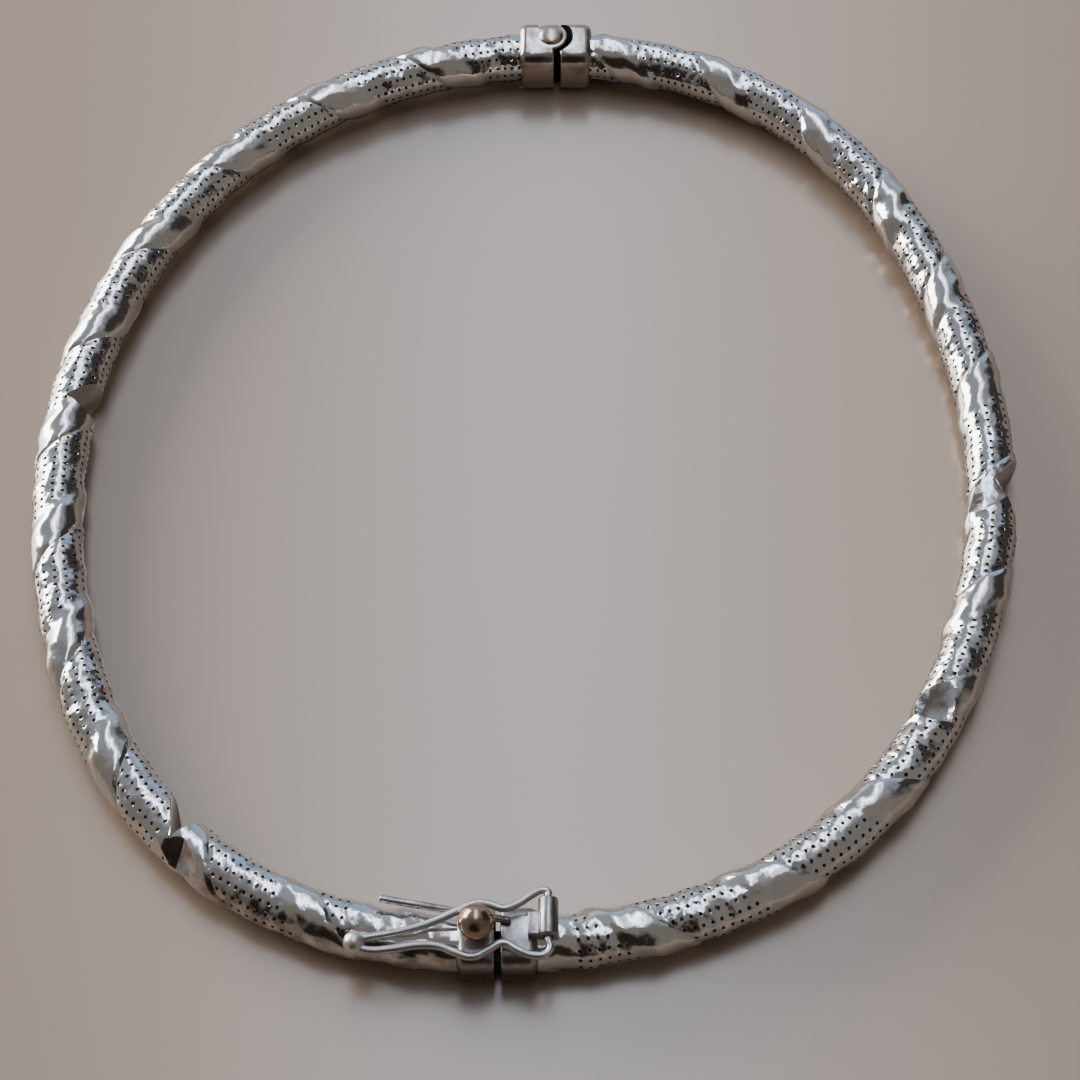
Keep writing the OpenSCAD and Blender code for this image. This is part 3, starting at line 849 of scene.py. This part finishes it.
def mark_inside(ob, joint, x_outer):
    """Gives the second material, the painted shade, to the faces inside a collar bar."""
    limit = (half_w - SKIN) * MM
    for f in ob.data.polygons:
        off = f.center - joint
        y, z = abs(off.y), abs(off.z)
        within = max(y, z) < limit and y + z < DIAGONAL * limit
        past_the_end = abs(off.x - x_outer * MM) > OUTER_EDGE * MM
        f.material_index = 1 if within and past_the_end else 0


for piece, joint, x_outer in (
    (hinge_left, HINGE_AT, -LEFT_BAR), (hinge_right, HINGE_AT, RIGHT_BAR),
    (box, CLASP_AT, -BOX_BAR), (tongue_collar, CLASP_AT, TONGUE_BAR),
):
    piece.data.materials.append(None)
    piece.data.materials.append(None)
    mark_inside(piece, joint, x_outer)

# %% [markdown]
# Each piece rides on the body that moves it, and takes the place of one CAD node in the render.

# %% Place the fittings on their bodies
FITTING_SHARP = 32
FITTINGS = [  # piece, body, CAD node, slot of the look
    (hinge_left, "box_half", "hinge_cap_left", "collar"),
    (hinge_right, "catch_half", "hinge_cap_right", "collar"),
    (hinge_pin, "box_half", "hinge_pin", "ball"),
    (box, "box_half", "box_cap", "collar"),
    (tongue_collar, "catch_half", "tongue_cap", "collar"),
    (push_ball, "button", "push_ball", "ball"),
    (catch, "safety", "safety_catch", "wire"),
    (bead, "safety", "safety_catch", "wire"),
]
for piece, body, node, slot in FITTINGS:
    only(piece)
    bpy.ops.object.shade_smooth_by_angle(angle=math.radians(FITTING_SHARP))
    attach(piece, body)
    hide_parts(node)
    print(piece.name, sum(len(p.vertices) - 2 for p in piece.data.polygons), "triangles")

# %% [markdown]
# ## Metals
# All of it is silver that has been worn for years. What is rubbed by a sleeve stays bright, and
# what sits in a punch mark goes brown and then black. The folds and the side low down are darkened
# with tarnish and painted shade together. So every metal below is one clean colour and one dark
# colour, mixed by where the place is.

# %% Colours and a node helper
def linear(hex_colour):
    """A screen colour as the linear values that Blender's sockets take."""
    parts = [int(hex_colour[i : i + 2], 16) / 255 for i in (1, 3, 5)]
    return tuple(c / 12.92 if c <= 0.04045 else ((c + 0.055) / 1.055) ** 2.4 for c in parts) + (1,)


def add(tree, kind, settings=None, **inputs):
    """Adds a node of that kind. An input is a value, or an output socket to link from.

    An input is named after its socket, with _ for a space, or i0, i1 and so on by its place
    where sockets share a name.
    """
    node = tree.nodes.new(kind)
    for key, value in (settings or {}).items():
        setattr(node, key, value)
    for key, value in inputs.items():
        numbered = key[0] == "i" and key[1:].isdigit()
        socket = node.inputs[int(key[1:]) if numbered else key.replace("_", " ")]
        if isinstance(value, bpy.types.NodeSocket):
            tree.links.new(value, socket)
        else:
            socket.default_value = value
    return node


# %% [markdown]
# A polished tube is a mirror, so the eye reads its surface from the reflections. Three sizes of
# unevenness give them their shape: dimples from the rolling break the long highlights, soft
# smudges change the gloss, and hairlines blur the edges of the reflections a little. Real
# hairlines are hundredths of a millimetre wide and wouldn't show in the render, so they are drawn
# as coarse as they need to be to show, a quarter of a millimetre.

# %% One recipe for all the metals
SMUDGE, DIMPLE, HAIRLINE = 1.11, 0.667, 0.25  # size of each pattern, mm
HAIRLINE_DEEP = 0.02
LOW_BLEND = 1.3  # mm of height over which the tarnish low down comes in


def metal(name, colour, dark, roughness, tarnish=0.5, hammer=0.0, shade_and_grime=0.0, shade_and_grime_below=2.3):
    """Polished metal with hairlines, soft smudges and patches of tarnish.

    Tarnish is how dark the smudges get, hammer the depth of the dimples in mm, and the grime
    setting how dark the folds and the side low down get, below a height in mm: painted shade and
    grime together.
    """
    material = bpy.data.materials.new(name)
    material.use_nodes = True
    tree = material.node_tree
    surface = tree.nodes["Principled BSDF"]
    where = add(tree, "ShaderNodeTexCoord").outputs["Object"]

    smudge = add(tree, "ShaderNodeTexNoise", Vector=where, Scale=1 / (SMUDGE * MM), Detail=5)
    smudge = smudge.outputs["Fac"]
    patch = add(
        tree, "ShaderNodeMapRange",
        Value=smudge, From_Min=0.35, From_Max=0.75, To_Min=0.0, To_Max=tarnish,
    )
    # Painted shade and grime low down: darker below a height
    height = add(tree, "ShaderNodeSeparateXYZ", Vector=where).outputs["Z"]
    low = add(
        tree, "ShaderNodeMapRange", Value=height, To_Min=0.0, To_Max=shade_and_grime,
        From_Min=shade_and_grime_below * MM, From_Max=(shade_and_grime_below - LOW_BLEND) * MM,
    )
    # Tarnish and painted shade stored with the tube's points, in its folds and at the left half's
    # far end
    fold = add(tree, "ShaderNodeAttribute", {"attribute_name": "shade_and_tarnish"}).outputs["Fac"]
    worn = add(
        tree, "ShaderNodeMapRange",
        Value=smudge, From_Min=0.4, From_Max=0.62, To_Min=0.15, To_Max=1.0,
    )
    times, larger = {"operation": "MULTIPLY"}, {"operation": "MAXIMUM"}
    fold = add(tree, "ShaderNodeMath", times, i0=fold, i1=worn.outputs[0])
    fold = add(tree, "ShaderNodeMath", times, i0=fold.outputs[0], i1=shade_and_grime)
    shade = add(tree, "ShaderNodeMath", larger, i0=low.outputs[0], i1=fold.outputs[0])
    shade = add(tree, "ShaderNodeMath", larger, i0=shade.outputs[0], i1=patch.outputs[0])
    tint = add(
        tree, "ShaderNodeMix", {"data_type": "RGBA"},
        i0=shade.outputs[0], i6=linear(colour), i7=linear(dark),
    )
    rough = add(
        tree, "ShaderNodeMapRange", Value=smudge,
        From_Min=0.3, From_Max=0.7, To_Min=roughness * 0.8, To_Max=roughness * 1.4,
    )
    dimples = add(tree, "ShaderNodeTexNoise", Vector=where, Scale=1 / (DIMPLE * MM), Detail=0.6)
    dimples = add(
        tree, "ShaderNodeBump", Strength=1.0, Distance=hammer * MM, Height=dimples.outputs["Fac"]
    )
    lines = add(tree, "ShaderNodeTexNoise", Vector=where, Scale=1 / (HAIRLINE * MM), Detail=3)
    bump = add(
        tree, "ShaderNodeBump", Strength=0.4, Distance=HAIRLINE_DEEP * MM,
        Height=lines.outputs["Fac"], Normal=dimples.outputs[0],
    )
    surface.inputs["Metallic"].default_value = 1
    tree.links.new(tint.outputs[2], surface.inputs["Base Color"])
    tree.links.new(rough.outputs[0], surface.inputs["Roughness"])
    tree.links.new(bump.outputs[0], surface.inputs["Normal"])
    return material


# %% Metals of the tube
# The darkening in the folds and low down set here is painted shade as well as grime
# Bright and dimpled, so that the highlights break up as on hand-drawn sheet
chased_silver = metal(
    "silver, rolled and chased", "#e9e9ea", "#6b5c4e", 0.13, tarnish=0.22, hammer=0.11, shade_and_grime=0.8
)
# The brightest of all: the raised bands are what a sleeve rubs
band_silver = metal(
    "silver, plain burnished band", "#eceae8", "#75685a", 0.11, tarnish=0.2, hammer=0.05, shade_and_grime=0.75
)
# Dull and dark, so that each punch mark reads as a dot
dot_tarnish = metal("silver sulphide in the punch marks", "#5b534c", "#2a2420", 0.6)
for tube in (left_tube, right_tube):
    for i, material in enumerate((chased_silver, dot_tarnish, band_silver)):
        tube.data.materials[i] = material

# %% Metals of the fittings
# The darkening low down set here is painted shade as well as grime
# A warm grey with brown smudges: cast collars take less polish than the tube
worn_silver = metal(
    "silver collar, cast and worn", "#d3c9c1", "#75685c", 0.18, tarnish=0.7, hammer=0.03, shade_and_grime=0.5
)
# The duller, darker metal of the clasp, handled every day. Its painted shade and grime low down
# reach almost to its top.
box_silver = metal(
    "silver box, dull and scratched", "#bdb9b8", "#4f453d", 0.28,
    tarnish=0.75, hammer=0.03, shade_and_grime=0.95, shade_and_grime_below=3.3,
)
# Nearly black painted shade, so that the slits between the collars read as deep
gap_shade = metal("painted shade in the gaps", "#2c2725", "#171412", 0.55)
# The thin gold has rubbed off in places, and what is left is a pinkish brown
gilt = metal("gilt ball, turned and rubbed", "#b89f8b", "#63503f", 0.2)
# The head is rubbed brighter than the collar round it
rivet_metal = metal("silver rivet, hammered and rubbed", "#d3c2b0", "#86705c", 0.24)
# Satin, with one soft highlight along it
drawn_silver = metal("silver wire, drawn", "#dbd8d9", "#8a847c", 0.32)
# A melted bead keeps a frosted skin
bead_silver = metal("silver bead, melted and frosted", "#efe9e2", "#b5a594", 0.34, tarnish=0.4)
for collar, material in (
    (hinge_left, worn_silver), (hinge_right, worn_silver),
    (box, box_silver), (tongue_collar, box_silver),
):
    collar.data.materials[0], collar.data.materials[1] = material, gap_shade
for piece, material in (
    (hinge_pin, rivet_metal), (push_ball, gilt), (catch, drawn_silver), (bead, bead_silver),
):
    piece.data.materials.append(material)
print(len(bpy.data.materials), "materials")

# %% [markdown]
# ## Floor, light and camera
# The bangle lies on a pale board with a light gloss. The gloss matters: a floor that takes part
# of its brightness from the ceiling shows only faint shadows, as here.

# %% Floor
FLOOR_SIZE = 1.2  # metres, so that its edges are out of the picture
FLOOR_UNDER = 0.02  # mm below the bangle, so that the two don't flicker into each other
bpy.ops.mesh.primitive_plane_add(size=FLOOR_SIZE, location=(0, 0, -FLOOR_UNDER * MM))
floor = bpy.context.object
floor.name = "floor"
floor_material = bpy.data.materials.new("pale board, lightly varnished")
floor_material.use_nodes = True
floor_surface = floor_material.node_tree.nodes["Principled BSDF"]
floor_surface.inputs["Base Color"].default_value = linear("#b6a08d")
floor_surface.inputs["Specular Tint"].default_value = linear("#fff2e6")
floor_surface.inputs["Roughness"].default_value = 0.28
floor_surface.inputs["Specular IOR Level"].default_value = 1.0
floor_surface.inputs["IOR"].default_value = 1.7
floor.data.materials.append(floor_material)

# %% [markdown]
# Silver shows the room rather than itself. The world is a grey room, darker in front, with four
# soft patches on its walls. Each patch lies at a bearing round the ring (0 is the right, 90 the
# far side) and between two heights (0 is level, 1 straight up), and fades in and out at its edges.

# %% Walls of the room
world = bpy.data.worlds.new("room")
bpy.context.scene.world = world
world.use_nodes = True
room = world.node_tree
gaze = add(room, "ShaderNodeTexCoord").outputs["Generated"]
x, y, z = add(room, "ShaderNodeSeparateXYZ", Vector=gaze).outputs
turn = add(room, "ShaderNodeMath", {"operation": "ARCTAN2"}, i0=y, i1=x).outputs[0]
bearing = add(room, "ShaderNodeMath", {"operation": "DEGREES"}, i0=turn).outputs[0]
ROOM = [  # colour, bearings where it begins and ends, heights where it begins and ends
    ("#d8d9dc", (90, 104, 126, 140), (-0.3, -0.1, 0.2, 0.5)),  # white wall beside the window
    ("#a9c0dc", (46, 62, 88, 102), (-0.3, -0.1, 0.3, 0.6)),  # cool daylight
    ("#3d3936", (-10, 8, 46, 60), (-0.2, 0.12, 0.6, 0.82)),  # dark corner
    ("#2c2521", (-142, -124, -78, -58), (-0.1, 0.15, 0.72, 0.94)),  # dark front
]
soft_edge = {"interpolation_type": "SMOOTHSTEP"}
depth = add(room, "ShaderNodeMapRange", soft_edge, Value=y, From_Min=-0.1, From_Max=0.4)
wall = add(
    room, "ShaderNodeMix", {"data_type": "RGBA"},
    i0=depth.outputs[0], i6=linear("#7a7570"), i7=linear("#959ba6"),
)
for colour, (b0, b1, b2, b3), (h0, h1, h2, h3) in ROOM:
    share = 1.0
    for place, none, full in ((bearing, b0, b1), (bearing, b3, b2), (z, h0, h1), (z, h3, h2)):
        edge = add(
            room, "ShaderNodeMapRange", soft_edge, Value=place, From_Min=none, From_Max=full
        )
        share = add(
            room, "ShaderNodeMath", {"operation": "MULTIPLY"}, i0=share, i1=edge.outputs[0]
        ).outputs[0]
    wall = add(
        room, "ShaderNodeMix", {"data_type": "RGBA"},
        i0=share, i6=wall.outputs[2], i7=linear(colour),
    )
background = room.nodes["Background"]
room.links.new(wall.outputs[2], background.inputs["Color"])
background.inputs["Strength"].default_value = 1.0

# %% [markdown]
# A low window at the back left gives the hard sparkle on the left half. A long, narrow bluish
# panel overhead draws the bright line along the top of the tube, and a wider one softens it.

# %% Lights
def panel(name, middle, target, size, watts, colour):
    """A rectangular light in the middle that faces the target, in metres."""
    light = bpy.data.lights.new(name, "AREA")
    light.shape = "RECTANGLE"
    light.size, light.size_y = size
    light.energy = watts
    light.color = linear(colour)[:3]
    ob = bpy.data.objects.new(name, light)
    bpy.context.scene.collection.objects.link(ob)
    ob.location = middle
    ob.rotation_euler = (Vector(target) - Vector(middle)).to_track_quat("-Z", "Y").to_euler()
    print(name, [round(math.degrees(a)) for a in ob.rotation_euler], "degrees")


panel("window", (-0.4642, 0.3373, 0.1754), (0, 0, 0), (0.46, 0.3), 5.2, "#fbf8f2")
panel("skylight", (0, 0.48, 0.6), (0, 0.48, 0), (0.1, 1.1), 1.35, "#bcd8ff")
panel("skylight_glow", (0.03, 0.58, 0.61), (0.03, 0.58, 0), (0.3, 1.05), 1.4, "#dad6d3")

# %% [markdown]
# The photo was taken by hand from the front, looking down at about 59 degrees. The camera's
# place, in mm from the middle of the bangle, was found by laying the render over the photo.

# %% Camera
LOOKING_DOWN = 59
CAMERA_AT = Vector((0.97, -80.4, 124.98))
camera_data = bpy.data.cameras.new("camera")
camera_data.lens = 80
camera_data.sensor_width = 36
camera_data.clip_start = 0.01
camera = bpy.data.objects.new("camera", camera_data)
bpy.context.scene.collection.objects.link(camera)
camera.location = CAMERA_AT * MM
camera.rotation_euler = (math.radians(90 - LOOKING_DOWN), 0, 0)
bpy.context.scene.camera = camera
